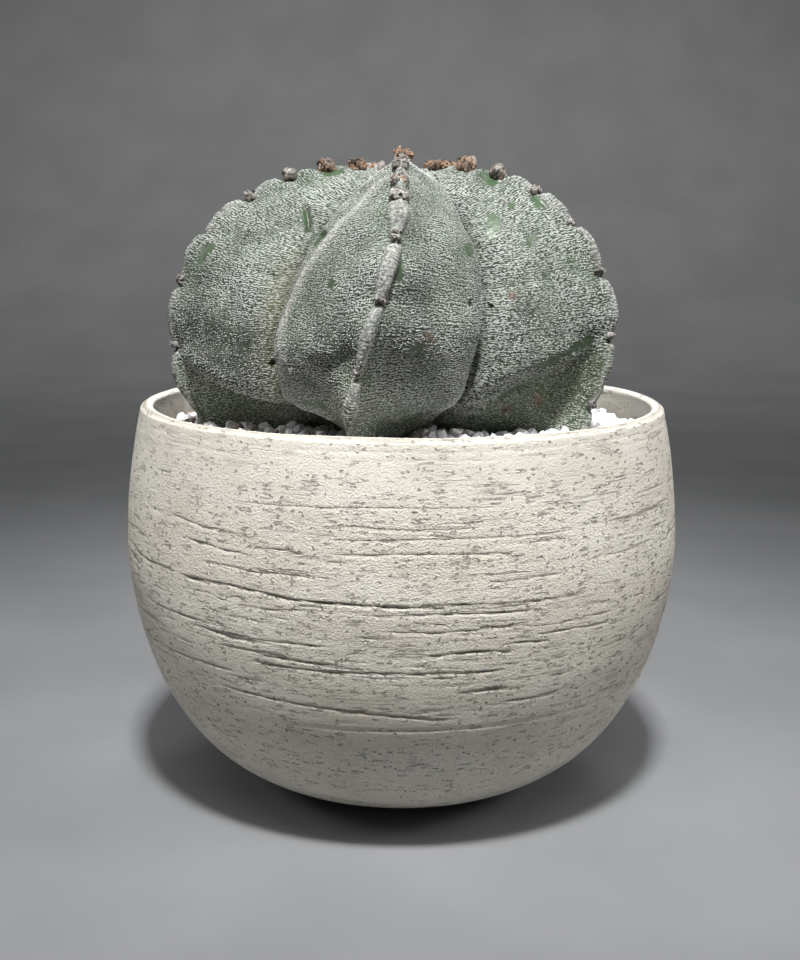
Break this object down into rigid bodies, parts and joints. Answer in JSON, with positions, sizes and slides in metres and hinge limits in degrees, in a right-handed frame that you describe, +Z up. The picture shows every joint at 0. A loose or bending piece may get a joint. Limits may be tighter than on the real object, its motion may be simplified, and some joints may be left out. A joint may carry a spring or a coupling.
{
  "type": "potted bishops cap cactus",
  "caption": "Round ribbed star cactus with felted crest cushions, growing in a turned clay bowl pot filled with soil and topped with gravel.",
  "frame": {"origin": "centre of the pot's foot, on the surface it stands on", "axes": "+Z up along the pot's axis; -Y towards the front of the plant, where its first rib faces"},
  "size_m": [0.15, 0.15, 0.1724],
  "materials": {
    "clay": "matte",
    "net_plastic": "matte",
    "potting_soil": "matte",
    "white_gravel": "matte",
    "skin": "matte"
  },
  "bodies": {
    "root": {"pot": "clay", "drain_net": "net_plastic", "soil": "potting_soil", "top_dressing": "white_gravel", "cactus": "skin"}
  },
  "joints": []
}
